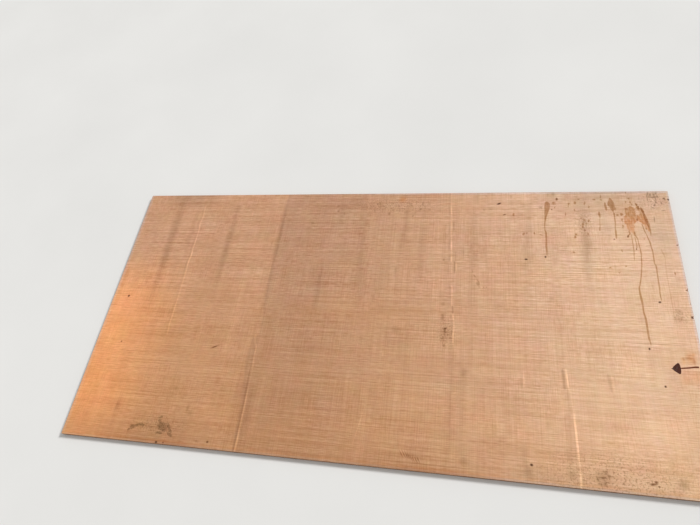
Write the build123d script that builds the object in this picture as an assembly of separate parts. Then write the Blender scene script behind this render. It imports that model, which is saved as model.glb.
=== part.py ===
from build123d import *
import os

# Plywood sheet, lying flat with its good face up.
# The origin is the centre of the underside. X runs along the length, which is the grain of both
# faces, Y across the width and Z up out of the good face. Sizes are in millimetres.

# The sheet as it is sold
sheet_length = 2440.0
sheet_width = 1220.0
sheet_thickness = 18.0

# The lay-up: an odd number of veneers, each laid across its neighbour, with a thin one on each face
ply_count = 13
face_veneer = 0.4

# The sawn edges: the soft crossbands stand back a little between the harder long-grain plies,
# the arrises are broken by a touch of the sander, and the corners are bruised by handling
crossband_setback = 0.25
arris_break = 0.25
corner_radius = 2.5

# Core gaps: slots between two strips of a crossband, open at a long edge and straight under the
# good face, where the face veneer shows them as a line. Each is (long edge it opens at, end it is
# measured from, distance from that end, how far it runs in, lean off square in degrees).
core_gap_width = 4.0
core_gaps = (
    ("front", "left", 771.0, 460.0, 2.1),
    ("front", "right", 439.0, 395.0, 3.0),
    ("back", "right", 897.0, 500.0, 1.9),
)
covering_ply_count = 1

# Chips broken out of the arris at the right-hand end, where the face veneer is cut across its
# grain. Each is (distance from the back edge, length along the end, depth into the sheet, depth
# below the face), and it is deepest at the face and runs out to nothing at its lower end.
end_chips = (
    (271.0, 12.0, 3.5, 3.0),
    (473.0, 16.0, 4.5, 3.5),
    (530.0, 9.0, 3.0, 2.0),
    (586.0, 14.0, 5.0, 4.5),
)


# The veneers, counted from the underside
core_veneer = (sheet_thickness - 2 * face_veneer) / (ply_count - 2)


def ply_thickness(index):
    """Thickness of one veneer: the outer two are face veneers."""
    return face_veneer if index in (0, ply_count - 1) else core_veneer


def ply_bottom(index):
    """Height of one veneer's underside above the floor."""
    return sum(ply_thickness(below) for below in range(index))


def is_crossband(index):
    """Every second veneer has its grain across the sheet."""
    return index % 2 == 1


def ply(index):
    """One veneer as it shows at the sawn edges: a full one, or a crossband that stands back."""
    setback = crossband_setback if is_crossband(index) else 0.0
    outline = RectangleRounded(
        sheet_length - 2 * setback,
        sheet_width - 2 * setback,
        corner_radius - setback,
    )
    return Pos(0, 0, ply_bottom(index)) * extrude(outline, ply_thickness(index))


def board():
    """All the veneers, glued into one solid, with the arrises of both faces broken."""
    glued = Part() + [ply(index) for index in range(ply_count)]
    faces = glued.faces().sort_by(Axis.Z)
    arrises = faces[0].outer_wire().edges() + faces[-1].outer_wire().edges()
    return chamfer(arrises, min(arris_break, 0.9 * face_veneer))


def core_gap(side, end, from_end, run, lean):
    """The slot of one core gap, turned anticlockwise by its lean as seen from above."""
    toward_side = -1 if side == "front" else 1
    toward_end = -1 if end == "left" else 1
    past_edge = core_gap_width
    slot = Pos(0, toward_side * past_edge, 0) * Box(
        core_gap_width,
        run + past_edge,
        core_veneer,
        align=(Align.CENTER, Align.MIN if toward_side < 0 else Align.MAX, Align.MIN),
    )
    mouth = Pos(
        toward_end * (sheet_length / 2 - from_end),
        toward_side * sheet_width / 2,
        ply_bottom(ply_count - 1 - covering_ply_count),
    )
    return mouth * Rot(0, 0, lean) * slot


def end_chip(from_back, length, inward, down):
    """One chip: an upright cone whose arc at the face has the chip's length and depth, and which
    narrows downward until it leaves the sheet."""
    radius = (length**2 / 4 + inward**2) / (2 * inward)
    past_chip = 1.05
    cutter = Cone(
        bottom_radius=radius - past_chip * inward,
        top_radius=radius,
        height=past_chip * down,
        align=(Align.CENTER, Align.CENTER, Align.MAX),
    )
    out_of_sheet = sheet_length / 2 + radius - inward
    return Pos(out_of_sheet, sheet_width / 2 - from_back, sheet_thickness) * cutter


sheet = board()
for gap in core_gaps:
    sheet -= core_gap(*gap)
for chip in end_chips:
    sheet -= end_chip(*chip)
sheet.label = "plywood_sheet"

os.makedirs("parts", exist_ok=True)
export_step(sheet, "parts/plywood_sheet.step")
print("core veneer", round(core_veneer, 3), "mm")
print("volume", round(sheet.volume / 1e9, 5), "cubic metres, solids", len(sheet.solids()))
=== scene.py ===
# %% [markdown]
# # A sheet of plywood, lying on its back
# The sheet comes in as a finished solid, at its real size, and nothing here moves or resizes it.
# Our work is its surface: a dense mesh with the small relief of real veneer, and wood that is
# built from nodes, with the grain, the water marks and the rust of a sheet that stood outdoors.
# Everything is in metres, with X along the grain of the face, Y across it and Z up. Places on the
# face are written in millimetres from the sheet's centre, as one would measure them.

# %% Load the frame
import math

import bpy
import numpy as np
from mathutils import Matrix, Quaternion, Vector


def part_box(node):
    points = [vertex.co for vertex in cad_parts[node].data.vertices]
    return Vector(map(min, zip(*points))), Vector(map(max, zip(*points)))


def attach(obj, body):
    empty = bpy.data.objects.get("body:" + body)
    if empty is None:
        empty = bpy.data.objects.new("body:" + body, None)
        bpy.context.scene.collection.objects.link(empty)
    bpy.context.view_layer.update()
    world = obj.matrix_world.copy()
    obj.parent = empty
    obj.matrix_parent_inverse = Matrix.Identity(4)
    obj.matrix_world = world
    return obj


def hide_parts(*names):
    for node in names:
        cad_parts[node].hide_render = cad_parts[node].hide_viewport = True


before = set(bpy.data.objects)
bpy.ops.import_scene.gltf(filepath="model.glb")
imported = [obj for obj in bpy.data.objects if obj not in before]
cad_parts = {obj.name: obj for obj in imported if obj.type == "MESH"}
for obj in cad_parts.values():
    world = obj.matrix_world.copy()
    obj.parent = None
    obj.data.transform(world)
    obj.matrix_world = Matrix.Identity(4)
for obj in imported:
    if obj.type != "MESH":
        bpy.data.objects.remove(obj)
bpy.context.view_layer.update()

mm = 0.001
low, high = (Vector(corner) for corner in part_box("plywood_sheet"))
half_length = high.x
half_width = high.y
thickness = high.z
print("sheet", [round(side / mm, 2) for side in high - low], "mm")

# %% [markdown]
# ## The camera
# The eye stands at one long edge, a little right of the middle, and looks down on the face. A
# camera is easiest to read as four plain facts: where it is, the point it looks at, how far it is
# rolled about that line, and its lens. The lens is worked out from the focal length in pixels of
# a picture 700 pixels wide. The near right-hand corner of the sheet runs out of the frame.

# %% Place the camera
image_width = 700
focal_length_pixels = 523.9
eye = Vector((0.3997, -0.9022, 1.9656 + thickness))
looks_at = Vector((-0.1089, 0.2296, thickness))
roll = math.radians(-19.66)

camera_data = bpy.data.cameras.new("camera")
camera_data.lens = camera_data.sensor_width * focal_length_pixels / image_width
camera = bpy.data.objects.new("camera", camera_data)
camera.location = eye
camera.rotation_mode = "QUATERNION"
camera.rotation_quaternion = (looks_at - eye).to_track_quat("-Z", "Y") @ Quaternion((0, 0, 1), roll)
bpy.context.collection.objects.link(camera)
bpy.context.scene.camera = camera
print("lens", round(camera_data.lens, 2), "mm")

# %% [markdown]
# ## A bench for wiring nodes
# A material is a chain of small sums. Written node by node it is unreadable, so we make one
# small class whose methods each add a node and hand back its output socket. With it a material
# reads like the arithmetic that it is. The sky has nodes too, and uses the same bench. Colours
# are written as a painter reads them, 0 to 255, or as factors that a colour is multiplied by.

# %% The node bench
def srgb(*channels):
    """A colour as a painter reads it, 0 to 255, turned into the linear light that nodes use."""
    shares = [channel / 255 for channel in channels]
    return tuple(share / 12.92 if share <= 0.04045 else ((share + 0.055) / 1.055) ** 2.4 for share in shares)


def opaque(colour):
    """Gives three numbers the fourth that nodes ask for, and leaves a socket as it is."""
    return (*colour, 1.0) if isinstance(colour, tuple) else colour


class Bench:
    """Adds nodes to a material or to the sky. A method takes numbers, or sockets in their place."""

    def __init__(self, owner):
        owner.use_nodes = True
        self.owner = owner
        self.tree = owner.node_tree
        self.tree.nodes.clear()

    def node(self, kind, sockets, **settings):
        """One node with its settings, and its sockets either linked or set."""
        made = self.tree.nodes.new(kind)
        for name, value in settings.items():
            setattr(made, name, value)
        for key, value in sockets.items():
            if isinstance(value, bpy.types.NodeSocket):
                self.tree.links.new(value, made.inputs[key])
            else:
                made.inputs[key].default_value = value
        return made

    def here(self):
        """Where a point lies on the object, in metres."""
        return self.node("ShaderNodeTexCoord", {}).outputs["Object"]

    def math(self, operation, *values):
        """One sum, by the name that Blender gives it."""
        return self.node("ShaderNodeMath", dict(enumerate(values)), operation=operation).outputs[0]

    def times(self, first, *others):
        """All the values multiplied together."""
        for other in others:
            first = self.math("MULTIPLY", first, other)
        return first

    def place(self, vector, centre, turn, size):
        """Coordinates in which a mark's centre is zero and its edge is at length one."""
        sockets = {"Vector": vector, "Location": centre, "Rotation": (0, 0, turn), "Scale": size}
        return self.node("ShaderNodeMapping", sockets, vector_type="TEXTURE").outputs[0]

    def stretch(self, vector, scale):
        """Coordinates multiplied by a scale along each axis."""
        sockets = {"Vector": vector, "Scale": scale}
        return self.node("ShaderNodeMapping", sockets, vector_type="POINT").outputs[0]

    def noise(self, vector, scale, detail=2.0, roughness=0.5, flat=True, output="Fac"):
        """Soft random patches, about one over scale wide, in the plane or, if not flat, in depth too."""
        sockets = {"Vector": vector, "Scale": scale, "Detail": detail, "Roughness": roughness}
        made = self.node("ShaderNodeTexNoise", sockets, noise_dimensions="2D" if flat else "3D")
        return made.outputs[output]

    def ramp(self, value, start, end, low=0.0, high=1.0, bend="LINEAR"):
        """A straight ramp from low at start to high at end, which carries straight on past both."""
        sockets = {"Value": value, 1: start, 2: end, 3: low, 4: high}
        return self.node("ShaderNodeMapRange", sockets, interpolation_type=bend, clamp=False).outputs[0]

    def fade(self, value, start, end, low=0.0, high=1.0):
        """A smooth step from low at start to high at end. It stays level past both by itself."""
        return self.ramp(value, start, end, low, high, "SMOOTHSTEP")

    def blend(self, share, first, second, how="MIX"):
        """Two colours mixed by a share from 0 to 1. A colour is three numbers or a socket."""
        sockets = {0: share, 6: opaque(first), 7: opaque(second)}
        return self.node("ShaderNodeMix", sockets, data_type="RGBA", blend_type=how).outputs[2]

    def tint(self, tone, share, factor):
        """A tone multiplied by a factor, as far as the share goes."""
        return self.blend(share, tone, factor, "MULTIPLY")

    def curve(self, value, points):
        """A smooth curve through points that lie between 0 and 1 both ways."""
        made = self.node("ShaderNodeFloatCurve", {"Factor": 1.0, "Value": value})
        made.mapping.extend = "HORIZONTAL"
        line = made.mapping.curves[0].points
        while len(line) < len(points):
            line.new(0.5, 0.5)
        for handle, point in zip(line, points):
            handle.location = point
            handle.handle_type = "AUTO_CLAMPED"
        made.mapping.update()
        return made.outputs[0]


print("mid grey in linear light", round(srgb(128)[0], 3))

# %% [markdown]
# ## Light
# Wood shows its relief only under light that comes from one side, yet hard light burns out pale
# veneer. So half of the light is a broad, low sun from the right and behind, and half is an even
# white sky. Together they come to one, so a colour renders about as bright as it is written.
# Reflections see the sky at full strength. The camera itself sees the floor's pale tone there, so
# that no horizon cuts the picture when the sheet is looked at from low down.

# %% Build the sun and the sky
sky_share = 0.5
sun_height = math.radians(36)
sun_direction = math.radians(35)
sun_softness = math.radians(14)
white = (1.0, 1.0, 1.0)
floor_from_afar = (0.80, 0.79, 0.768)

sun_data = bpy.data.lights.new("sun", "SUN")
sun_data.angle = sun_softness
sun_data.energy = math.pi * (1 - sky_share) / math.sin(sun_height)
sun = bpy.data.objects.new("sun", sun_data)
toward_sun = Vector((
    math.cos(sun_height) * math.cos(sun_direction),
    math.cos(sun_height) * math.sin(sun_direction),
    math.sin(sun_height),
))
sun.rotation_mode = "QUATERNION"
sun.rotation_quaternion = toward_sun.to_track_quat("Z", "Y")
sun.location = toward_sun * 4
bpy.context.collection.objects.link(sun)

scene = bpy.context.scene
scene.view_settings.view_transform = "Standard"
scene.world = bpy.data.worlds.new("sky")
sky = Bench(scene.world)
rays = sky.node("ShaderNodeLightPath", {}).outputs
seen = sky.math("MAXIMUM", rays["Is Camera Ray"], rays["Is Glossy Ray"])
seen = sky.math("MAXIMUM", seen, rays["Is Transmission Ray"])
strength = sky.ramp(seen, 0.0, 1.0, sky_share, 1.0)
colour = sky.blend(rays["Is Camera Ray"], white, floor_from_afar)
background = sky.node("ShaderNodeBackground", {"Color": colour, "Strength": strength})
sky.node("ShaderNodeOutputWorld", {"Surface": background.outputs[0]})
print("sun", round(sun_data.energy, 2), "sky", sky_share)

# %% [markdown]
# ## The floor
# The floor only has to be pale, quiet and real enough to take a shadow. It is one large plane
# with a matt surface whose tone drifts by a shade, as a painted studio floor does.

# %% Lay the floor
floor_reach = 30.0
corners = [(-floor_reach, -floor_reach, 0), (floor_reach, -floor_reach, 0),
           (floor_reach, floor_reach, 0), (-floor_reach, floor_reach, 0)]
floor_mesh = bpy.data.meshes.new("floor")
floor_mesh.from_pydata(corners, [], [(0, 1, 2, 3)])
floor = bpy.data.objects.new("floor", floor_mesh)
bpy.context.collection.objects.link(floor)

paint = Bench(bpy.data.materials.new("floor paint"))
drift = paint.noise(paint.here(), 1.5, detail=3.0)
paint_tone = paint.blend(drift, srgb(226, 225, 222), srgb(234, 233, 230))
matt = {"Base Color": paint_tone, "Roughness": 0.9, "Specular IOR Level": 0.1}
shader = paint.node("ShaderNodeBsdfPrincipled", matt)
paint.node("ShaderNodeOutputMaterial", {"Surface": shader.outputs[0]})
floor_mesh.materials.append(paint.owner)
print("floor", 2 * floor_reach, "m square")

# %% [markdown]
# ## The lines that show through the face
# Under each thin face veneer lies a thick one with its grain across the sheet, laid in strips.
# Where two strips lap or part, the face veneer shows it as a line: a low ridge, pale on its crest
# from sanding and from a painted highlight, with dirt and painted shade along its left foot. Each
# line is listed from the back long edge to the front as (y, x, how strongly it shows), in
# millimetres from the sheet's centre. The mesh, the pale crest and the dark foot all read the same
# list, so they can never part company.

# %% List the lines
show_through = {
    "left": [
        (548, -897, 0.0), (535, -896.5, 0.35), (500, -894, 0.30), (470, -893, 0.40), (436, -896, 0.40),
        (420, -895, 0.65), (400, -892.5, 0.45), (375, -892, 0.25), (345, -892, 0.40), (320, -892, 0.50),
        (290, -893, 0.45), (260, -890, 0.80), (235, -892, 0.65), (210, -893.5, 0.80), (180, -892, 0.50),
        (150, -890.5, 0.50), (120, -890, 0.40), (75, -890, 0.35), (30, -889, 0.25), (0, -889, 0.35),
        (-30, -888, 0.45), (-60, -888.5, 0.35), (-95, -889, 0.25), (-125, -886.5, 0.35), (-158, -884, 0.0),
    ],
    "seam": [
        (-128, -473, 0.0), (-150, -472, 0.45), (-170, -467, 0.25), (-200, -457, 0.50), (-225, -457, 0.35),
        (-255, -455, 0.55), (-275, -454, 0.35), (-290, -453, 0.05), (-345, -453, 0.05), (-370, -453, 0.30),
        (-400, -452, 0.50), (-450, -451, 0.65), (-500, -451, 0.55), (-535, -450.5, 0.75), (-560, -450, 1.0),
        (-580, -450, 0.80), (-610, -450, 0.50),
    ],
    "dashed": [
        (610, 323, 0.30), (560, 324, 0.25), (530, 324, 0.50), (505, 325, 0.75), (485, 326, 0.35),
        (465, 327, 0.25), (440, 327, 0.60), (415, 328, 0.50), (395, 328, 0.55), (375, 329, 0.35),
        (350, 330, 0.50), (322, 330, 1.0), (305, 331, 0.70), (280, 332, 0.45), (265, 332, 0.90),
        (245, 332.5, 0.60), (235, 333, 0.05), (200, 334, 0.20), (180, 335, 0.05), (135, 336, 0.05),
        (120, 339, 0.65), (95, 340, 0.50), (60, 340, 0.45), (42, 341, 0.50), (30, 342, 0.0), (2, 346, 0.0),
        (-10, 347, 0.60), (-30, 350, 0.45), (-60, 352, 0.50), (-78, 351, 0.65), (-95, 350, 0.75),
        (-116, 350, 0.75), (-128, 351, 0.50), (-152, 353, 0.0),
    ],
    "short": [(-218, 610, 0.0), (-240, 611, 0.30), (-270, 611, 0.40), (-290, 611, 0.0)],
    "right": [
        (-198, 759, 0.0), (-216, 760, 0.70), (-240, 761, 1.0), (-262, 762.5, 0.80), (-276, 764, 0.30),
        (-290, 769, 0.15), (-345, 775, 0.15), (-370, 776, 0.45), (-385, 775.5, 0.65), (-415, 776.5, 1.0),
        (-470, 778, 1.0), (-500, 779, 0.90), (-525, 780, 0.65), (-545, 781, 0.30), (-560, 781, 0.40),
        (-575, 780, 0.85), (-610, 780, 0.70),
    ],
    "faint": [(-214, 913, 0.0), (-230, 914, 0.30), (-262, 915, 0.25), (-286, 916, 0.0)],
}
for name, line in show_through.items():
    print(name, "line runs", line[0][0] - line[-1][0], "mm across the sheet")

# %% [markdown]
# ## A mesh that follows the lines
# A plain grid would need millions of faces to hold ridges 5 mm wide. Instead the grid's columns
# bend so that a bundle of them runs along every line, close together, with wide columns between.
# Rows are close together only at the chips in the right-hand end and along the outer edges. This
# is how a modeller lays edge loops: detail where the form is, and little where it is flat. The rows
# come first.

# %% Lay out the rows
corner_radius = 2.5 * mm
near_end = np.array([0, 1 / 3, 2 / 3, 1, 2.4, 5.6]) * corner_radius
wide_row = 12 * mm
chip_steps = np.arange(-10, 10.1, 1.0) * mm
clear_of_chips = 4 * mm
closest_rows = 0.3 * mm

# Each chip in the right-hand end: (distance from the back edge, length, depth in, depth down)
chips = [(271, 12, 3.5, 3.0), (473, 16, 4.5, 3.5), (530, 9, 3.0, 2.0), (586, 14, 5.0, 4.5)]
chips = [tuple(size * mm for size in chip) for chip in chips]


def thin_out(values, closest):
    """Sorted values, without those that lie nearer than closest to the one before."""
    kept = []
    for value in sorted(values):
        if not kept or value - kept[-1] > closest:
            kept.append(value)
    return kept


chip_rows = [half_width - chip[0] + step for chip in chips for step in chip_steps]
plain_rows = np.arange(-half_width + 2 * wide_row, half_width - wide_row, wide_row)
plain_rows = [y for y in plain_rows if min(abs(y - other) for other in chip_rows) > clear_of_chips]
rows = list(-half_width + near_end) + plain_rows + chip_rows + list(half_width - near_end)
rows = np.array(thin_out(rows, closest_rows))
print(len(rows), "rows,", len(chip_rows), "of them drawn for", len(chips), "chips")

# %% [markdown]
# Now the columns. Where a line lies and how strongly it shows are read off its list, straight from
# point to point. The columns of a bundle stand about a millimetre apart at the crest, where the
# height changes fastest, and wider beside it.

# %% Lay out the columns
wide_column = 30 * mm
bundle = np.array([-14, -9, -6.5, -5, -4, -3, -2.05, -1.95, -1, 0, 1, 1.95, 2.05, 3, 4, 6, 9, 14]) * mm


def line_x(line, y):
    """Where a line is at each y, in metres. Past its ends it carries straight on."""
    ys, xs = np.array(line)[::-1, :2].T * mm
    return np.interp(y, ys, xs)


def line_strength(line, y):
    """How strongly a line shows at each y, from 0 to 1."""
    ys, strengths = np.array(line)[::-1, ::2].T
    return np.interp(y, ys * mm, strengths)


lines = list(show_through.values())
column_x = [-half_length + offset + 0 * rows for offset in near_end]


def fill_up_to(end):
    """Adds wide columns, evenly spaced, from the last column to just before the next place."""
    start = column_x[-1]
    count = max(1, round(float(np.mean(end - start)) / wide_column))
    column_x.extend([start + (end - start) * step / count for step in range(1, count)])


for line in lines:
    middle = line_x(line, rows)
    fill_up_to(middle + bundle[0])
    column_x.extend([middle + offset for offset in bundle])
fill_up_to(half_length - near_end[-1] + 0 * rows)
column_x.extend([half_length - offset + 0 * rows for offset in near_end[::-1]])
grid_x = np.array(column_x).T
grid_y = np.repeat(rows[:, None], grid_x.shape[1], axis=1)
row_count, column_count = grid_x.shape
print("grid", row_count, "rows by", column_count, "columns")

# %% [markdown]
# ## Round corners and relief
# The sheet's corners are bruised to a radius of 2.5 mm, so the square patch of grid in each one
# is squeezed onto a quarter circle. Then the face gets its height: flat, with a drift of a tenth
# of a millimetre from uneven glue, the ridges, and a shallow trough along each ridge's left foot.

# %% Shape the face
ridge_height = 0.15 * mm
crest_width = 2.6 * mm
trough_share = 0.2
foot_offset = 6.0 * mm
foot_width = 3.0 * mm
drift_height = 0.12 * mm

# The waves of uneven glue, in radians a metre: along the sheet, across it, and how each is bent
wave_x, wave_y = 31, 23
bend_of_x, bend_of_y = 9, 5


def squeeze_corners(x, y):
    """Moves the points of each corner patch onto a quarter circle."""
    a = (np.abs(x) - (half_length - corner_radius)) / corner_radius
    b = (np.abs(y) - (half_width - corner_radius)) / corner_radius
    inside = (a > 0) & (b > 0)
    a, b = np.where(inside, a, 1.0), np.where(inside, b, 1.0)
    shrink = np.maximum(a, b) / np.hypot(a, b)
    round_x = np.sign(x) * (half_length - corner_radius + a * shrink * corner_radius)
    round_y = np.sign(y) * (half_width - corner_radius + b * shrink * corner_radius)
    return np.where(inside, round_x, x), np.where(inside, round_y, y)


def slow_waves(x, y):
    """Uneven glue as waves from -1 to 1, about 200 mm long along the sheet and 270 mm across it."""
    bent_x, bent_y = 2 * np.sin(y * bend_of_x), 3 * np.sin(x * bend_of_y + 1)
    return np.sin(x * wave_x + bent_x) * np.sin(y * wave_y + bent_y)


def relief(x, y):
    """Height of the face above its flat plane."""
    height = np.zeros_like(x)
    for line in lines:
        across = x - line_x(line, y)
        ridge = ridge_height * line_strength(line, y)
        height += ridge * np.exp(-((across / crest_width) ** 2))
        height -= trough_share * ridge * np.exp(-(((across + foot_offset) / foot_width) ** 2))
    return height + drift_height * 0.5 * (slow_waves(x, y) - 1)


grid_x, grid_y = squeeze_corners(grid_x, grid_y)
face_height = relief(grid_x, grid_y)
print("relief from", round(face_height.min() / mm, 2), "to", round(face_height.max() / mm, 2), "mm")

# %% [markdown]
# ## The sawn edges
# Thirteen veneers show at the edges: a 0.4 mm one on each face and eleven of 1.56 mm between.
# Every second one is soft and stands back a quarter of a millimetre. A picture of stripes would
# look flat from close up, so the steps are real. We walk round the sheet once for each level and
# set the points of that level in by its own amount.

# %% Set out the levels of the edge
ply_count = 13
face_veneer = 0.4 * mm
core_veneer = (thickness - 2 * face_veneer) / (ply_count - 2)
crossband_setback = 0.25 * mm
arris = 0.25 * mm

# Each level is (height, how far it is set in, which veneer it belongs to)
levels = [(0.0, arris, 0), (arris, 0.0, 0), (face_veneer, 0.0, 0)]
for ply in range(1, ply_count - 1):
    bottom = face_veneer + (ply - 1) * core_veneer
    setback = crossband_setback if ply % 2 else 0.0
    levels += [(bottom, setback, ply), (bottom + core_veneer, setback, ply)]
last = ply_count - 1
levels += [(thickness - face_veneer, 0.0, last), (thickness - arris, 0.0, last), (thickness, arris, last)]

around = [(0, i) for i in range(column_count)]
around += [(j, column_count - 1) for j in range(1, row_count)]
around += [(row_count - 1, i) for i in range(column_count - 2, -1, -1)]
around += [(j, 0) for j in range(row_count - 2, 0, -1)]
edge_j, edge_i = np.array(around).T
edge_x, edge_y = grid_x[edge_j, edge_i], grid_y[edge_j, edge_i]


def outward(x, y):
    """The direction that points out of the sheet at a point of its outline."""
    a = np.clip((np.abs(x) - (half_length - corner_radius)) / corner_radius, 0, None)
    b = np.clip((np.abs(y) - (half_width - corner_radius)) / corner_radius, 0, None)
    size = np.maximum(np.hypot(a, b), 1e-9)
    return np.sign(x) * a / size, np.sign(y) * b / size


normal_x, normal_y = outward(edge_x, edge_y)
print(len(levels), "levels of", len(around), "points")

# %% [markdown]
# A sawn edge is never clean. Every point is set in by a little random fray. A chip is the same
# move, only deeper: a shallow scoop, widest at the face, with a splintered floor. A core gap is
# the deepest of all, the slot that is left where two strips of the veneer under the face part.

# %% Cut the chips and the core gaps
fray = 0.05 * mm
splintering = 0.15
core_gap_width = 4.0 * mm
core_gap_depth = 18.0 * mm
gap_ply = ply_count - 2


def chip_depth(y, below_face):
    """How deep the chips cut into the right-hand end at a place and a depth below the face."""
    deepest = np.zeros_like(y)
    for from_back, long, inward, down in chips:
        radius = (long**2 / 4 + inward**2) / (2 * inward)
        radius_here = np.maximum(radius - inward / down * below_face, 0)
        across = y - (half_width - from_back)
        reach = np.sqrt(np.maximum(radius_here**2 - across**2, 0)) - (radius - inward)
        deepest = np.maximum(deepest, np.where(np.abs(across) < long, reach, 0))
    return np.maximum(deepest, 0)


def in_core_gap(x, y):
    """Whether a point of the outline lies at the mouth of a core gap."""
    front = y < -half_width + corner_radius
    back = y > half_width - corner_radius
    at_gap = np.zeros(len(x), bool)
    for name, side in (("seam", front), ("right", front), ("dashed", back)):
        mouth = line_x(show_through[name], y)
        at_gap |= side & (np.abs(x - mouth) < core_gap_width / 2)
    return at_gap


rng = np.random.default_rng(13)
at_right_end = normal_x > 0.99
at_gap = in_core_gap(edge_x, edge_y)
rings = []
for height, setback, ply in levels:
    inset = setback + fray * np.abs(rng.standard_normal(len(around))).clip(0, 2.5)
    splinter = 1 + splintering * rng.standard_normal(len(around)).clip(-2, 2)
    chip = chip_depth(edge_y, thickness - height) * at_right_end * splinter
    inset = np.maximum(inset, chip)
    if ply == gap_ply:
        inset = np.where(at_gap, core_gap_depth, inset)
    ring = [edge_x - normal_x * inset, edge_y - normal_y * inset, height + 0 * edge_x]
    rings.append(np.stack(ring, axis=1))
print("chips cut up to", round(float(chip_depth(edge_y, 0 * edge_y).max()) / mm, 1), "mm in")

# %% [markdown]
# ## One closed skin
# The face, the back and the rings of the edge between them become one mesh, closed all round. The
# points come first: the back, the face and then each ring. The back and the face share their outer
# points with the lowest and the highest ring. Where a chip bites into the end, the last columns of
# the face are drawn back before it, so that none of them folds over.

# %% Number the points
def squeeze_chips(x, y):
    """Draws the face's last columns back from the chips in the right-hand end."""
    reach = near_end[-1]
    from_end = half_length - x
    depth = chip_depth(y, 0 * y)
    drawn = depth + from_end * (1 - depth / reach)
    return np.where((depth > 0) & (from_end < reach), half_length - drawn, x)


top = np.stack([squeeze_chips(grid_x, grid_y), grid_y, thickness + face_height], axis=2)
bottom = np.stack([grid_x, grid_y, np.zeros_like(grid_x)], axis=2)
top[edge_j, edge_i, :2] = rings[-1][:, :2]
bottom[edge_j, edge_i, :2] = rings[0][:, :2]
rings[-2][:, 2] += face_height[edge_j, edge_i]

cells = row_count * column_count
points = np.concatenate([bottom.reshape(-1, 3), top.reshape(-1, 3)] + rings[1:-1])
number_of = np.arange(cells).reshape(row_count, column_count)
ring_numbers = [number_of[edge_j, edge_i]]
for step in range(len(rings) - 2):
    ring_numbers.append(2 * cells + step * len(around) + np.arange(len(around)))
ring_numbers.append(cells + number_of[edge_j, edge_i])
print(len(points), "points in", len(ring_numbers), "rings and two faces")

# %% [markdown]
# Each face of the mesh is told which wood it is: the good face, the back, veneer that shows its
# long grain, veneer that shows its end grain, or the dark line of glue on the little ledge between
# two veneers. The wood follows from the veneer and the side, so nobody has to paint it on.

# %% Build the mesh
GOOD_FACE, BACK_FACE, LONG_GRAIN, END_GRAIN, GLUE = range(5)
crease_angle = math.radians(30)

a, b = number_of[:-1, :-1].ravel(), number_of[:-1, 1:].ravel()
c, d = number_of[1:, 1:].ravel(), number_of[1:, :-1].ravel()
quads = [np.stack([a, d, c, b], axis=1), np.stack([a, b, c, d], axis=1) + cells]
woods = [np.full(len(a), BACK_FACE), np.full(len(a), GOOD_FACE)]
faces_long_side = np.abs(normal_y) > np.abs(normal_x)
for step in range(len(levels) - 1):
    lower, upper = ring_numbers[step], ring_numbers[step + 1]
    quads.append(np.stack([lower, np.roll(lower, -1), np.roll(upper, -1), upper], axis=1))
    ply = levels[step][2]
    runs_across = ply % 2 == 1
    wood = np.where(faces_long_side == runs_across, END_GRAIN, LONG_GRAIN)
    between_plies = ply != levels[step + 1][2]
    woods.append(np.full(len(around), GLUE) if between_plies else wood)
quads = np.concatenate(quads)
woods = np.concatenate(woods)

mesh = bpy.data.meshes.new("plywood")
mesh.from_pydata(points.tolist(), [], quads.tolist())
mesh.polygons.foreach_set("material_index", woods.astype(np.int32))
mesh.polygons.foreach_set("use_smooth", np.ones(len(woods), bool))
mesh.set_sharp_from_angle(angle=crease_angle)
mesh.update()
plywood = bpy.data.objects.new("plywood", mesh)
bpy.context.collection.objects.link(plywood)
print(2 * len(quads), "triangles,", int((woods == GLUE).sum()), "faces of glue")

# %% [markdown]
# ## Veneer
# The faces are rotary-cut tropical veneer, straight in the grain and sanded. Three things make it
# read as wood: ribbons of light and dark that run half a metre with the grain, fine dark pores a
# few millimetres long, and the faint cross lines that the lathe's knife left. All are noise that
# is stretched along one axis. Stretching costs nothing, stays sharp close up and never repeats.

# %% The grain that both faces share
line_length, line_width = 380 * mm, 4.7 * mm
streak_length, streak_width = 32 * mm, 3.2 * mm
band_length, band_width = 1100 * mm, 30 * mm
pore_length, pore_width = 9 * mm, 0.55 * mm


def stripes(bench, here, along_x, along_y, detail=1.0):
    """Noise whose patches are about along_x by along_y in size."""
    return bench.noise(bench.stretch(here, (1 / along_x, 1 / along_y, 1)), 1.0, detail)


def grain(bench, here):
    """Grain, broad bands and pores, each from 0 to 1."""
    grain_lines = stripes(bench, here, line_length, line_width, 1.5)
    streaks = stripes(bench, here, streak_length, streak_width, 2.0)
    fibres = bench.math("MULTIPLY_ADD", grain_lines, 0.5, bench.times(streaks, 0.5))
    bands = stripes(bench, here, band_length, band_width)
    pores = stripes(bench, here, pore_length, pore_width)
    return fibres, bands, bench.fade(pores, 0.64, 0.76)


print("ribbons of grain are", round(line_length / line_width), "times as long as they are wide")

# %% [markdown]
# ## Wood for the back, the edges and the glue
# The back is the same veneer, darker and without marks. At a sawn edge, wood shows one of two
# looks: long grain, which is pale and streaked along the veneer, or end grain, which is darker
# because light sinks into the open pores. Glue squeezed out between veneers is darker still. Each
# is a short function, and one more closes every wood into the same bare, unpolished surface.

# %% Wood for the back, the edges and the glue
def finish(bench, colour, roughness, bump, bump_height, shine=0.25):
    """Closes a wood material: colour, roughness and relief into one bare surface."""
    raised = bench.node("ShaderNodeBump", {"Height": bump, "Distance": bump_height, "Strength": 1.0})
    sockets = {"Base Color": colour, "Roughness": roughness, "Specular IOR Level": shine}
    shader = bench.node("ShaderNodeBsdfPrincipled", {**sockets, "Normal": raised.outputs[0]})
    bench.node("ShaderNodeOutputMaterial", {"Surface": shader.outputs[0]})
    return bench.owner


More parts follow.
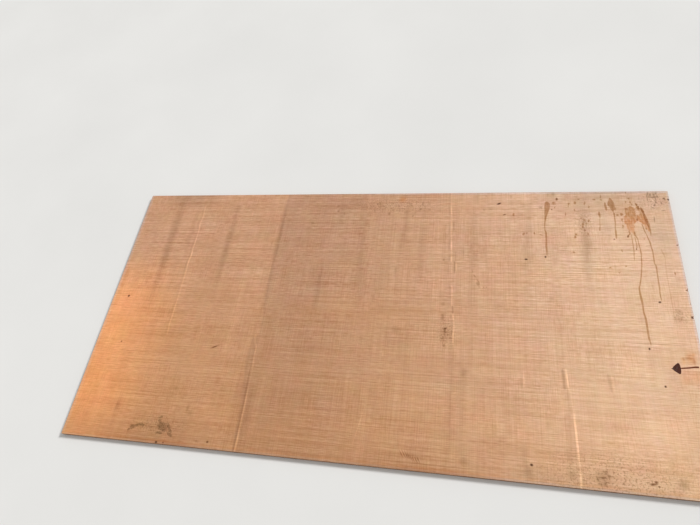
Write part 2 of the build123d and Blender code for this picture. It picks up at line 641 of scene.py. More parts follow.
def back_veneer():
    """The plain veneer of the back."""
    bench = Bench(bpy.data.materials.new("back veneer"))
    fibres, bands, pores = grain(bench, bench.here())
    colour = bench.blend(bench.ramp(fibres, 0.3, 0.7), srgb(170, 120, 84), srgb(200, 154, 116))
    colour = bench.blend(bands, colour, srgb(184, 132, 98))
    colour = bench.blend(bench.times(pores, 0.5), colour, srgb(112, 72, 48))
    bump = bench.math("SUBTRACT", fibres, pores)
    return finish(bench, colour, bench.ramp(fibres, 0, 1, 0.6, 0.75), bump, 0.1 * mm)


def edge_wood(name, pale, dark, fleck_size):
    """Wood at a sawn edge: fleck_size is how long its streaks are along X, Y and Z."""
    bench = Bench(bpy.data.materials.new(name))
    here = bench.here()
    flecks = bench.noise(bench.stretch(here, [1 / size for size in fleck_size]), 1.0, 3.0, 0.6, flat=False)
    blotches = bench.noise(here, 18.0, flat=False)
    colour = bench.blend(bench.fade(flecks, 0.3, 0.7), dark, pale)
    colour = bench.blend(bench.fade(blotches, 0.45, 0.75, 0, 0.5), colour, dark)
    return finish(bench, colour, bench.ramp(flecks, 0, 1, 0.65, 0.85), flecks, 0.15 * mm)


def glue_line():
    """The dark glue on the ledge between two veneers."""
    bench = Bench(bpy.data.materials.new("glue line"))
    squeezed_out = bench.noise(bench.here(), 900.0, flat=False)
    colour = bench.blend(squeezed_out, srgb(66, 40, 27), srgb(104, 68, 46))
    return finish(bench, colour, 0.5, squeezed_out, 0.05 * mm)


long_flecks = (30 * mm, 30 * mm, 0.5 * mm)
end_flecks = (0.8 * mm, 0.8 * mm, 0.6 * mm)
plain_woods = [
    back_veneer(),
    edge_wood("long grain edge", srgb(206, 160, 118), srgb(168, 118, 80), long_flecks),
    edge_wood("end grain edge", srgb(158, 108, 72), srgb(112, 72, 46), end_flecks),
    glue_line(),
]
print("plain woods:", ", ".join(wood.name for wood in plain_woods))

# %% [markdown]
# ## Marks, drawn as small sums
# A sheet that stood outdoors carries dozens of marks, and each has a place. An image texture
# could hold them, but it would blur close up. Instead a mark is a sum. Coordinates are moved,
# turned and shrunk until the mark is a ball of radius one, and the ball's gradient then says how
# deep inside it a point lies. Marks of one kind are joined by taking the larger, so two that
# overlap don't darken twice. A list of marks gives (x, y, half length, half width) for each, and
# where they matter its turn in degrees, its softness and its strength.

# %% Spots
def spot(bench, here, x, y, half_x, half_y, turn=0.0, softness=1.0, strength=1.0):
    """An oval mark in millimetres and degrees. Softness is the share of its radius that fades."""
    centre, size = (x * mm, y * mm, 0), (half_x * mm, half_y * mm, 1)
    local = bench.place(here, centre, math.radians(turn), size)
    ball = bench.node("ShaderNodeTexGradient", {"Vector": local}, gradient_type="SPHERICAL")
    return bench.fade(ball.outputs["Fac"], 0.0, softness, 0.0, strength)


def joined(bench, shares):
    """Several masks as one: the largest at each point."""
    total = None
    for share in shares:
        total = share if total is None else bench.math("MAXIMUM", total, share)
    return total


def spots(bench, here, marks, **common):
    """A whole list of marks as one mask."""
    return joined(bench, [spot(bench, here, *mark, **common) for mark in marks])


def marked(bench, tone, here, marks, factor, **common):
    """The tone with one kind of mark on it, and a line of print that counts them."""
    print(len(marks), "marks multiply the tone by", factor)
    return bench.tint(tone, spots(bench, here, marks, **common), factor)


# %% [markdown]
# A run of rusty water is no oval: it starts as a blob, narrows to a thread and wanders. So a run
# is two smooth curves along its length, one for where its middle is and one for its half width.
# The first of them also draws the bright crests of the ridges and the dark lines beside them.

# %% Runs
def middle_line(bench, along, places, middles):
    """A smooth line through given points. Gives its middle, and how far along everything is."""
    span = places[-1] - places[0]
    lowest = min(middles)
    spread = max(middles) - lowest or 1
    steps = [(place - places[0]) / span for place in places]
    step = bench.ramp(along, places[0] * mm, places[-1] * mm)
    middle = bench.curve(step, [(at, (value - lowest) / spread) for at, value in zip(steps, middles)])
    return bench.math("MULTIPLY_ADD", middle, spread * mm, lowest * mm), step, steps


def run(bench, along, across, points, edge=1.5, strength=1.0):
    """A mark along given points (place along, place across, half width), in millimetres."""
    places, middles, widths = zip(*sorted(points))
    middle, step, steps = middle_line(bench, along, places, middles)
    off_middle = bench.math("ABSOLUTE", bench.math("SUBTRACT", across, middle))
    widest = max(widths)
    half = bench.curve(step, [(at, width / widest) for at, width in zip(steps, widths)])
    inside = bench.math("SUBTRACT", bench.times(half, widest * mm), off_middle)
    return bench.fade(inside, 0.0, edge * mm, 0.0, strength)


# %% [markdown]
# ## The good face
# The good face is built up as a painter would build it: a broad tone, the grain over it, and then
# the marks, kind by kind. Dirt and water never leave a straight outline. So beside the plain
# coordinates we make two that wander: soft ones that swing slowly, for water and smudges, and rough
# ones that tear an outline up, for blots and prints. A mark is read through whichever suits it.

# %% Start the good face
face = Bench(bpy.data.materials.new("good face"))


def warped(here, scale, reach):
    """Coordinates that wander by up to reach in patches about one over scale metres wide."""
    wander = face.noise(here, scale, output="Color")
    sockets = {0: wander, 1: (2 * reach, 2 * reach, 0), 2: (-reach, -reach, 0)}
    shift = face.node("ShaderNodeVectorMath", sockets, operation="MULTIPLY_ADD").outputs[0]
    return face.node("ShaderNodeVectorMath", {0: shift, 1: here}, operation="ADD").outputs[0]


soft_scale, rough_scale = 22.0, 110.0
here = face.stretch(face.here(), (1, 1, 0))
soft_here = warped(here, soft_scale, 7 * mm)
rough_here = warped(here, rough_scale, 5 * mm)
x, y = face.node("ShaderNodeSeparateXYZ", {0: here}).outputs[:2]
rough_x, rough_y = face.node("ShaderNodeSeparateXYZ", {0: rough_here}).outputs[:2]
print("outlines wander in patches of", round(1 / soft_scale / mm), "and", round(1 / rough_scale / mm), "mm")

# %% [markdown]
# From left to right the veneer goes from a pinkish tan, over a straight seam, into a duller brown,
# and then slowly to a pale peach. These are a handful of named colours on a colour ramp. The seam is
# a smooth curve of its own, because no ramp could follow it.

# %% Broad tone
pink_tan = srgb(199, 150, 115)
dull_brown = srgb(187, 141, 109)
plain_tan = srgb(199, 152, 117)
light_tan = srgb(209, 163, 129)
pale_peach = srgb(225, 184, 150)
right_of_seam = [(-470, dull_brown), (-250, dull_brown), (150, plain_tan), (480, light_tan),
                 (950, pale_peach), (1220, pale_peach)]
seam_line = [
    (610, -463), (560, -466), (500, -469), (420, -466), (340, -463), (280, -465), (150, -469), (0, -466),
    (-60, -456), (-130, -458), (-160, -484), (-240, -486), (-320, -478), (-420, -470), (-610, -462),
]


def colour_along(value, stops):
    """A colour ramp from stops (millimetres along the sheet, colour)."""
    start, end = stops[0][0], stops[-1][0]
    share = face.ramp(value, start * mm, end * mm)
    made = face.node("ShaderNodeValToRGB", {"Fac": share})
    elements = made.color_ramp.elements
    while len(elements) < len(stops):
        elements.new(0.5)
    for element, (place, colour) in zip(elements, stops):
        element.position = (place - start) / (end - start)
        element.color = opaque(colour)
    return made.outputs["Color"]


seam_starts, seam_ends = -7 * mm, 3 * mm
seam_places, seam_middles = zip(*sorted(seam_line))
seam_x = middle_line(face, y, seam_places, seam_middles)[0]
past_seam = face.math("SUBTRACT", x, seam_x)
past_seam = face.fade(past_seam, seam_starts, seam_ends)
tone = face.blend(past_seam, pink_tan, colour_along(x, right_of_seam))
print("seam wanders over", max(seam_middles) - min(seam_middles), "mm")

# %% [markdown]
# Toward the front edge the wood is warmer. The left-hand end gets a painted orange glow: light
# bounced onto it from a warm, sunlit surface beside it, put into its colour. Wide patches are a
# little greyer or redder. Nobody would see one of them alone, but a sheet without them looks like
# print. They are the largest ovals of all, multiplied in very gently.

# %% Warmth, painted orange glow, and greyer and redder patches
warm_left, warm_right = (0.98, 0.94, 0.82), (1.01, 0.985, 0.94)
painted_bounce_light = (1.46, 1.22, 0.97)
warmth = face.blend(face.ramp(x, -800 * mm, 900 * mm), warm_left, warm_right)
tone = face.tint(tone, face.fade(y, 420 * mm, -420 * mm), warmth)
# Painted light: an orange glow bounced onto the left-hand end, multiplied into its colour.
glow = face.times(
    face.fade(x, -780 * mm, -1190 * mm), face.fade(y, 300 * mm, -10 * mm),
    face.fade(y, -640 * mm, -400 * mm, 0.35, 1.0))
tone = face.tint(tone, glow, painted_bounce_light)
grey_patches = [
    (980, 620, 380, 240), (1170, 400, 110, 150, 0, 1, 0.75), (1125, -205, 70, 60, 0, 1, 0.35),
    (-760, -620, 460, 200), (500, -680, 1100, 230), (-980, 640, 260, 160), (950, -640, 320, 90),
    (-300, -400, 520, 110, 0, 1, 0.2), (440, -260, 240, 200, 0, 1, 0.18),
]
tone = marked(face, tone, here, grey_patches, (0.80, 0.80, 0.81))
# The first red patch, at x -860, carries the painted orange glow of the left-hand end further in; the others
# are redder wood.
red_and_glow_patches = [
    (-860, -140, 330, 250), (1040, 500, 130, 100), (900, -560, 420, 170), (600, 190, 260, 120),
    (-100, 0, 420, 110),
]
near_front = face.fade(y, -240 * mm, -560 * mm)
reddened_and_glow = joined(face, [spots(face, here, red_and_glow_patches), near_front])
tone = face.tint(tone, reddened_and_glow, (0.985, 0.955, 0.905))

# %% [markdown]
# Over the tone lies the grain. It isn't equally crisp everywhere: sanding and weather have calmed
# it in places, so its strength is a map of its own. Each layer of grain is noise that multiplies
# the tone by one factor where it is low and by another where it is high. The factor for pale fibres
# is larger in blue than in red, so they turn whiter as they get brighter, as bare wood does.

# %% Grain
calm_places = [
    (560, 210, 220, 170), (200, -280, 160, 330), (-250, -380, 90, 240), (900, -330, 160, 160),
]
calm = spots(face, here, calm_places)
worn = face.noise(face.stretch(here, (1, 2, 1)), 3.4, 3.0)
crisp = face.times(
    face.fade(worn, 0.36, 0.64, 0.72, 1.0), face.fade(x, 650 * mm, 1050 * mm, 1.0, 0.85),
    face.fade(y, -60 * mm, 220 * mm, 0.75, 1.0), face.math("MULTIPLY_ADD", calm, -0.4, 1.0))
cut = face.times(
    face.fade(x, -750 * mm, -450 * mm, 0.5, 1.0), face.fade(x, 650 * mm, 950 * mm, 1.0, 0.55))

thread_length, thread_width = 520 * mm, 2.2 * mm
knife_width, knife_length = 3.4 * mm, 260 * mm
column_width, column_length = 36 * mm, 600 * mm
fibres, bands, pores = grain(face, here)
threads = stripes(face, here, thread_length, thread_width)
knife_lines = stripes(face, here, knife_width, knife_length, 1.5)
mottle = face.noise(here, 11.0, 3.0)
columns = stripes(face, here, column_width, column_length, 1.5)

# Each layer is (its noise, the factor where it is low, the factor where it is high, its share)
layers = [
    (fibres, (0.69, 0.59, 0.47), (1.33, 1.45, 1.63), crisp),
    (threads, (0.925, 0.90, 0.87), (1.075, 1.10, 1.13), 1.0),
    (knife_lines, (0.935, 0.915, 0.89), (1.065, 1.085, 1.11), cut),
    (bands, (0.98, 0.975, 0.97), (1.02, 1.03, 1.04), 1.0),
    (mottle, (0.965, 0.955, 0.94), (1.035, 1.045, 1.06), 1.0),
    (columns, (0.98, 0.972, 0.965), (1.02, 1.028, 1.035), 1.0),
]
for value, darkest, palest, share in layers:
    factor = face.blend(face.ramp(value, 0.25, 0.75), darkest, palest)
    tone = face.tint(tone, share, factor)
print(len(layers), "layers of grain,", len(face.tree.nodes), "nodes so far")

# %% [markdown]
# The last of the grain is what a close look finds: fibres that differ in hue as well as in
# brightness, short knife checks in rough patches, and the dark pores.

# %% Hue, checks and pores
hue_swing, hue_lowest = (0.18, 0.18, 0.22), (0.91, 0.91, 0.89)
hue_noise = face.noise(here, 9.0, 4.0, 0.85, output="Color")
hue = face.node(
    "ShaderNodeVectorMath", {0: hue_noise, 1: hue_swing, 2: hue_lowest}, operation="MULTIPLY_ADD")
tone = face.tint(tone, 1.0, hue.outputs[0])
check_width, check_length = 4.5 * mm, 42 * mm
checks = stripes(face, here, check_width, check_length, 1.5)
rough_patches = face.fade(face.noise(here, 4.5), 0.42, 0.62)
knife_checks = face.times(face.fade(checks, 0.45, 0.7), rough_patches)
tone = face.tint(tone, knife_checks, (0.92, 0.895, 0.86))
tone = face.tint(tone, face.times(pores, 0.4), (0.62, 0.52, 0.44))
bump = face.math("SUBTRACT", fibres, pores)
print("pores are", round(pore_length / mm), "mm long and", round(pore_width / mm, 2), "mm wide")

# %% [markdown]
# ## Water marks
# Water ran across the sheet while it stood outdoors, and left wide soft bands: four strong ones, a
# couple of dozen weak ones, and pale ones between, where it washed the wood. Two pale ones near the
# left-hand end are painted light instead, which widens the painted orange glow there. They could be
# drawn as bands from edge to edge, but a real one fades out. So they are ovals far longer than wide,
# read through the soft coordinates.

# %% Water marks
strong_marks = [
    (-1027, 320, 34, 440), (-719, 300, 26, 330), (-468, 350, 18, 300), (876, 330, 38, 270),
]
weak_marks = [
    (-66, 300, 26, 370, 3.6), (122, 420, 22, 220, -4), (200, 330, 24, 330), (424, 320, 26, 420, -2),
    (648, 340, 32, 300, -3), (-235, 90, 24, 200), (348, -350, 16, 260), (386, -330, 30, 260),
    (345, -170, 22, 100), (-1007, -490, 18, 100), (-466, 20, 20, 300), (-486, -400, 36, 240),
    (-440, -480, 24, 130), (-180, 500, 26, 130), (-120, 570, 50, 60), (960, 420, 44, 70),
    (756, -400, 18, 230), (-926, 400, 16, 200), (606, -545, 16, 90), (751, -530, 26, 80),
    (848, -568, 30, 36), (1090, -568, 26, 32), (760, 600, 18, 16), (1200, 570, 46, 90), (1165, 590, 40, 30),
]
# The two pale marks near the left-hand end, at x -1180 and -1150, brighten the painted orange glow; the rest
# are washed wood.
washed_and_glow_marks = [
    (-585, 50, 34, 430), (276, 150, 34, 500), (508, 300, 32, 280), (-110, 80, 26, 300), (-130, 200, 80, 90),
    (82, 250, 26, 340), (30, -430, 24, 220), (832, 350, 30, 240), (1062, 150, 38, 260),
    (1086, 180, 18, 240), (-102, 200, 20, 120), (-300, 200, 26, 130), (-1180, 60, 30, 300),
    (150, 550, 70, 70), (840, 540, 50, 60), (20, 0, 50, 190, 0, 1, 0.6), (-300, 270, 60, 160, 0, 1, 0.6),
    (980, -300, 60, 80, 0, 1, 0.6), (1030, -400, 130, 90), (-1150, -200, 50, 170), (1095, -30, 60, 140),
    (-400, -420, 30, 200), (1000, -180, 90, 110),
]
tone = marked(face, tone, soft_here, strong_marks, (0.77, 0.75, 0.72))
tone = marked(face, tone, soft_here, weak_marks, (0.89, 0.88, 0.865))
tone = marked(face, tone, soft_here, washed_and_glow_marks, (1.05, 1.06, 1.06))

# %% [markdown]
# ## Dirt
# Now the small things, kind by kind. Most are grey smudges, where the sheet was handled or stood in
# dirt: faint ones with a soft outline, darker ones with a torn one, and two prints near the
# left-hand end. Fine speckle breaks the prints up, because only the high fibres took the dirt.

# %% Smudges and prints
faint_smudges = [
    (-1010, -478, 13, 34), (-674, -482, 20, 15), (-688, -465, 11, 26), (-690, -460, 9, 20),
    (-615, -586, 15, 5), (-688, -590, 16, 7), (-315, 440, 14, 12), (-205, 538, 12, 14), (-170, 495, 6, 16),
    (-5, 535, 16, 12), (-25, 512, 10, 12), (62, 515, 8, 14), (88, 515, 8, 14), (122, 500, 20, 14),
    (160, 500, 8, 14), (222, 550, 14, 11), (208, 532, 7, 14), (225, 514, 12, 9), (399, -557, 26, 22),
    (206, -560, 34, 14), (240, -572, 16, 16), (388, -560, 12, 16), (392, -245, 20, 22), (850, -572, 38, 44),
    (1088, -568, 30, 28), (755, -568, 18, 24), (618, -575, 22, 40), (-230, -138, 10, 10),
    (122, -80, 28, 28), (98, 190, 10, 32), (305, 40, 12, 14), (318, -84, 30, 50), (1092, -570, 18, 24),
    (848, -566, 28, 34), (725, 80, 18, 16), (1172, 48, 18, 24), (1168, 15, 26, 22), (1190, 10, 20, 9),
    (495, 520, 14, 8), (466, 513, 9, 9), (424, 498, 9, 9), (478, 589, 8, 10), (635, 535, 22, 15),
    (585, 586, 7, 11), (739, 592, 8, 12), (760, 598, 12, 14), (760, 180, 28, 9), (-767, -387, 16, 12),
]
dark_smudges = [
    (-200, 510, 9, 13), (-6, 551, 8, 11), (43, 495, 9, 10), (135, 549, 12, 8, -25), (143, 539, 10, 7, -25),
    (194, 550, 8, 15), (185, 519, 11, 8), (153, 481, 8, 5), (306, -15, 10, 20), (318, -74, 7, 13),
    (308, -108, 12, 8), (315, -137, 8, 7), (300, 253, 8, 8), (444, 140, 12, 10), (707, 527, 12, 12),
    (834, -577, 8, 11), (868, -562, 6, 11), (841, -591, 8, 6), (850, -570, 16, 5), (858, -551, 13, 7),
    (855, -588, 9, 11), (868, -514, 4, 4.5), (857, -520, 5, 4), (847, -524, 4, 3), (905, -519, 5, 4),
    (910, -507, 5, 6), (912, -580, 4, 9),
]
prints = [
    (-779, -543, 32, 22, -25), (-786, -532, 18, 11), (-768, -556, 18, 13), (-752, -541, 9, 22, 38),
    (-740, -556, 8, 16, 36), (-734, -573, 13, 7, -20), (-745, -567, 6, 11, 25), (-797, -508, 15, 7, 12),
    (-797, -521, 9, 8), (-785, -569, 24, 7), (-909, -555, 16, 13), (-889, -547, 18, 9, 20),
    (-872, -543, 16, 8), (-921, -567, 8, 6, 30), (-862, -546, 6, 6),
]
tone = marked(face, tone, soft_here, faint_smudges, (0.76, 0.735, 0.675), strength=0.75)
tone = marked(face, tone, rough_here, dark_smudges, (0.63, 0.595, 0.51), softness=0.8, strength=0.85)
speckle = face.fade(face.noise(here, 240.0), 0.34, 0.58, 0.55, 1.0)
printed = spots(face, rough_here, prints, softness=0.6)
tone = face.tint(tone, face.times(printed, speckle), (0.53, 0.535, 0.47))
print(len(prints), "ovals make the prints")

# %% [markdown]
# Grit is finer than any list: it is noise, let through only inside the grimy patches. The specks
# that can be told apart are listed, brown ones and black ones, each a small crisp oval.

# %% Grit and specks
grimy_patches = [
    (900, -570, 420, 130), (320, -80, 60, 110), (60, 540, 330, 70), (1160, 560, 90, 80),
    (870, 440, 70, 110), (-800, -540, 190, 60), (1180, 30, 50, 60),
]
brown_specks = [
    (-1096, -198, 6, 5), (-645, -198, 23, 5, 24), (-570, -585, 7, 6), (1016, -580, 5.5, 4.5),
    (1000, -574, 18, 6, 8), (1009, -567, 9, 6), (554, 488, 11, 5, 22), (986, 365, 5, 5, 30),
    (1039, 380, 4.5, 7, -20), (1199, 571, 6, 7), (1214, 137, 5, 5), (1214, 339, 5, 6), (752, 515, 4.5, 5.5),
    (-755, -604, 5, 5), (1063, 318, 3.5, 5), (-16, 550, 5, 5), (318, -65, 9, 6), (776, 572, 6, 9),
]
black_specks = [
    (-1143, 26, 8.5, 7.5, 20), (626, -551, 7.5, 6.5), (1084, -246, 5.5, 6), (532, 548, 14.5, 6.5, 25),
    (637, 262, 9.5, 6), (1052, -108, 5, 7), (714, 275, 5.5, 6.5), (1114, 83, 8, 6, 20),
    (1214, 24, 6.5, 8.5), (1216, 565, 5.5, 7.5), (-785, -605, 7.5, 6),
]
grit = face.fade(face.noise(here, 150.0, 3.0), 0.52, 0.66)
grit = face.times(spots(face, soft_here, grimy_patches), grit)
tone = face.tint(tone, grit, (0.66, 0.61, 0.55))
tone = marked(face, tone, here, brown_specks, (0.31, 0.21, 0.125), softness=0.8, strength=0.9)
tone = marked(face, tone, here, black_specks, (0.14, 0.085, 0.055), softness=0.75)

# %% [markdown]
# Near the right-hand end lies a black mark like a heart with a stalk, on wood that is stained
# orange. The heart and the stalk are runs along the sheet. Three small spots of painted sheen turn
# its black bluish there, so that the heart doesn't read as a hole.

# %% The stained wood and the black heart
orange_stains = [
    (102, 574, 26, 30), (1182, -138, 30, 42), (1156, -148, 14, 26, 0, 1, 0.7), (1192, -124, 16, 14),
    (1152, -214, 34, 34, 0, 1, 0.6), (1185, -205, 40, 40, 0, 1, 0.6), (1166, -192, 26, 18, 0, 1, 0.4),
]
browned = [
    (1178, -136, 24, 8), (1190, -148, 9, 20), (1192, -146, 7, 16), (1180, -126, 18, 4), (1158, -140, 8, 8),
]
stalk = [
    (1140, -176, 0), (1143, -176, 2.6), (1150, -175, 3.4), (1160, -173.5, 3.6), (1174, -171.5, 3.8),
    (1182, -170, 3.9), (1192, -168.5, 4.2), (1199, -168, 4.2), (1203, -167.5, 0),
]
heart = [
    (1110, -178.5, 0), (1114, -178.5, 1.6), (1117, -178.5, 3.6), (1120, -177.5, 7.6), (1124, -177.5, 11.6),
    (1128, -177, 15), (1133, -176.8, 19), (1137, -176.5, 21), (1140, -176.3, 20), (1142, -176.3, 16),
    (1144, -176.3, 0),
]
sheen_spots = [
    (1131, -175, 3.4, 10, -25), (1119, -178, 6, 5), (1126, -184, 4, 6, 30),
]
stain = face.blend(face.noise(here, 30.0), (0.98, 0.80, 0.62), (0.90, 0.74, 0.56))
tone = face.tint(tone, spots(face, soft_here, orange_stains), stain)
tone = marked(face, tone, rough_here, browned, (0.80, 0.68, 0.62))
tone = face.tint(tone, run(face, x, y, stalk, edge=1.8), (0.18, 0.06, 0.01))
dried = face.blend(face.noise(here, 220.0), (0.05, 0.015, 0.005), (0.10, 0.03, 0.01))
# Painted sheen: three small spots where the black heart turns a bluish black.
dried = face.blend(spots(face, here, sheen_spots, strength=0.8), dried, (0.10, 0.09, 0.12))
tone = face.tint(tone, run(face, x, y, heart, edge=1.2), dried)
print("heart", heart[-1][0] - heart[0][0], "mm long and", 2 * max(point[2] for point in heart), "mm wide")

# %% [markdown]
# ## Rust
# While the sheet stood outdoors, rusty drops hit it near its back right corner and ran toward the
# front. A stain is brown and see-through: it multiplies the wood below it instead of covering it,
# so the grain still shows. The two large blotches come first. They are runs too, read through the
# rough coordinates, and their colour gets paler toward the front in three steps.

# %% Rust blotches
left_blotch = [
    (536, 1066, 0), (530, 1066, 6), (522, 1067, 15), (512, 1062, 22), (500, 1062, 22), (488, 1062, 22),
    (476, 1060, 28), (462, 1060, 29), (450, 1056, 25), (442, 1053, 20), (434, 1054, 18), (420, 1055, 16.5),
    (408, 1057, 13), (400, 1059, 7), (385, 1063, 3), (372, 1065, 2.4), (364, 1065, 0),
]
right_blotch = [
    (548, 1088, 0), (541, 1090, 6), (530, 1091, 6), (521, 1097, 13), (510, 1102, 14), (500, 1104, 13),
    (488, 1102, 15), (476, 1101, 19), (464, 1103, 20), (452, 1107, 18), (444, 1111, 15), (436, 1114, 12),
    (426, 1117, 10), (410, 1121, 7), (395, 1125, 2.6), (380, 1124, 0),
]
clear_spot = (1092, 496, 11, 15)
outlines = (left_blotch, right_blotch)
blotches = joined(face, [run(face, rough_y, rough_x, points, edge=5.0) for points in outlines])
around_clear = face.fade(spot(face, rough_here, *clear_spot, softness=0.6), 0.0, 1.0, 1.0, 0.2)
uneven = face.fade(face.noise(face.stretch(here, (130, 50, 1)), 1.0, 3.0), 0.34, 0.60, 0.6, 1.0)
front_rust, middle_rust, back_rust = (0.90, 0.70, 0.52), (0.77, 0.54, 0.35), (0.68, 0.525, 0.33)
rust = face.blend(face.fade(y, 400 * mm, 450 * mm), front_rust, middle_rust)
rust = face.blend(face.fade(y, 450 * mm, 500 * mm), rust, back_rust)
tone = face.tint(tone, face.times(blotches, around_clear, uneven), rust)
print("blotches reach", left_blotch[0][0] - left_blotch[-1][0], "mm down the sheet")

# %% [markdown]
# From the blotches and from single drops, threads of rusty water ran across the sheet. The longest
# is half a metre. Around them lie the drops that didn't run.

# %% Rust runs and drops
rust_runs = [
    [(560, 734, 0), (554, 734, 8), (545, 735, 12), (530, 734, 12.5), (510, 731, 10), (495, 728, 8.5),
     (480, 725.5, 6), (460, 722.5, 4.5), (435, 719, 3.2), (410, 718.5, 3.5), (395, 722, 4.6),
     (372, 722, 4.8), (350, 721, 4.4), (325, 720, 4.8), (300, 720.5, 4.2), (287, 720.5, 3), (277, 720, 0)],
    [(578, 991, 0), (572, 991, 5), (562, 992, 9), (550, 992, 13.5), (540, 992, 15), (530, 994.5, 12.5),
     (517, 996, 9.5), (507, 996, 5.5), (500, 997, 2.5), (495, 999, 4), (470, 999, 3.6), (440, 998, 3.4),
     (420, 996, 3.4), (395, 995.5, 4.6), (375, 995, 3.8), (364, 994, 0)],
    [(508, 941, 0), (500, 941, 4), (488, 941, 5.5), (478, 942, 3.6), (460, 940, 2.2), (430, 938, 2.4),
     (412, 935.5, 4), (403, 935, 0)],
    [(555, 969, 0), (545, 968.5, 4.5), (530, 969.5, 5.5), (518, 970.5, 5.5), (507, 971, 0)],
    [(530, 1105, 0), (520, 1106, 5), (497, 1112, 5.5), (470, 1117, 7), (447, 1121, 7.5), (425, 1124.5, 5),
     (400, 1126, 3.5), (385, 1125, 2.4), (374, 1124, 0)],
    [(442, 1098, 0), (435, 1100, 3.5), (410, 1104, 3.2), (390, 1109, 3), (365, 1114, 3.4),
     (347, 1117.5, 3.8), (335, 1118, 3.6), (305, 1121, 3.6), (255, 1120, 3.4), (240, 1124, 3.8),
     (205, 1123, 3.2), (155, 1122, 3.4), (110, 1120, 3), (92, 1121, 2), (86, 1120, 0)],
    [(405, 1066, 0), (395, 1066, 4.5), (365, 1074, 3), (342, 1075, 3), (317, 1077, 3), (300, 1077.5, 3.6),
     (280, 1076, 3.2), (255, 1074, 3.2), (230, 1070, 3.4), (205, 1066, 3.4), (180, 1061, 3.4),
     (155, 1055, 3.6), (130, 1050, 4), (105, 1051, 4.8), (90, 1052, 5), (65, 1053, 4), (42, 1052.5, 4),
     (22, 1054.5, 4.2), (0, 1056, 4.6), (-25, 1056, 4.4), (-60, 1056, 4.4), (-77, 1057.5, 3.8),
     (-90, 1059, 2.6), (-102, 1057, 0)],
    [(385, 1064, 0), (365, 1065, 2.6), (335, 1066, 3), (322, 1064, 3), (312, 1061.5, 0)],
    [(412, 1049, 0), (404, 1046, 3.5), (394, 1048, 4), (384, 1041, 4.5), (376, 1039, 4), (370, 1038, 0)],
    [(400, 1053, 0), (380, 1053, 2.2), (322, 1053, 3), (300, 1052, 3), (272, 1050, 2.4), (262, 1050, 0)],
]
faint_run = [
    (325, 1153, 0), (317, 1154, 3.6), (306, 1155.5, 4.4), (292, 1159.5, 3.4), (275, 1161, 3.2),
    (255, 1159, 3), (205, 1157, 3), (155, 1156, 3), (80, 1155.5, 3.2), (20, 1153, 3), (-15, 1152, 0),
]
rust_drops = [
    (761.5, 549, 12, 13), (765, 527, 4, 6), (776, 570, 8, 11), (823, 544, 6, 10, -15), (821, 532, 4, 7),
    (849, 550, 8, 12), (864, 569, 6, 8), (887.5, 548, 4.5, 15, -5), (903, 529, 3.5, 9), (928, 568, 8, 6),
    (955, 584, 5, 13), (955, 565, 6, 5), (845, 514, 3, 10), (807.5, 490, 4, 10), (869, 470, 6, 7),
    (879, 462, 7, 9), (896, 456, 5, 10), (872, 440, 7, 9), (870, 427, 5, 10), (886, 443, 7, 5),
    (876, 407, 7, 5), (888, 391, 5, 12), (840, 387, 6, 9), (837, 375, 5, 12), (826, 299, 6, 6),
    (592, 490, 7, 9), (1007, 517, 4, 12), (1012, 486, 5, 9), (1027, 490, 7, 11), (1026, 460, 5, 12),
    (1026, 427, 4, 14), (1057, 603, 4, 7), (1064, 571, 6, 8), (1051, 554, 5, 10), (1068, 552, 5, 11),
    (1091, 539, 7, 8), (1096, 525, 6, 12), (1112, 417, 4, 8), (1099, 367, 4.5, 7), (1084, 462, 6, 11),
    (1009, 310, 4, 9), (957, 230, 7, 6), (1113, 417, 4, 5), (1104, 404, 3.5, 5), (1072, 541, 5, 8),
    (1047, 520, 7, 8), (987, 207, 6, 5), (1014, 237, 5, 6), (675, 392, 4, 8), (701, 384, 10, 4),
    (645, 392, 7, 4, 30), (1186, 210, 4, 12), (632, 388, 7, 12, -20),
]
runs = joined(face, [run(face, y, x, points, edge=2.4, strength=0.95) for points in rust_runs])
weak_run = run(face, y, x, faint_run, edge=3.0, strength=0.4)
drops = spots(face, rough_here, rust_drops, softness=0.75)
rusted = face.times(joined(face, [runs, weak_run, drops]), face.fade(uneven, 0.6, 1.0, 0.8, 1.0))
tone = face.tint(tone, rusted, (0.60, 0.46, 0.30))
print(len(rust_runs) + 1, "runs and", len(rust_drops), "drops")

# %% [markdown]
# ## Crests
# The ridges are real relief, but under soft light a ridge of a seventh of a millimetre stays faint.
# On the real sheet it reads by its colour too, and here its light is painted in as well: the crest
# is pale, partly because sanding thinned the veneer there and partly as a painted highlight, and the
# left foot is dark, partly from dirt in the trough and partly as painted shade on the side the light
# misses. So each line gets both, from its own list. Where the foot is darker than that, a dark run
# of dirt and painted shade is laid beside the line.

# %% Crests and their feet
foot_dirt_and_shade = {"left": 0.35, "seam": 0.45, "dashed": 0.42, "short": 0.6, "right": 0.1, "faint": 0.75}
foot_from_crest = 8.5 * mm
crest_ends, crest_full = 5.5 * mm, 0.8 * mm
foot_ends, foot_full = 7.5 * mm, 1 * mm
pale_run = [(242, 354, 0), (232, 354, 4), (206, 354.5, 3.5), (190, 355, 0)]

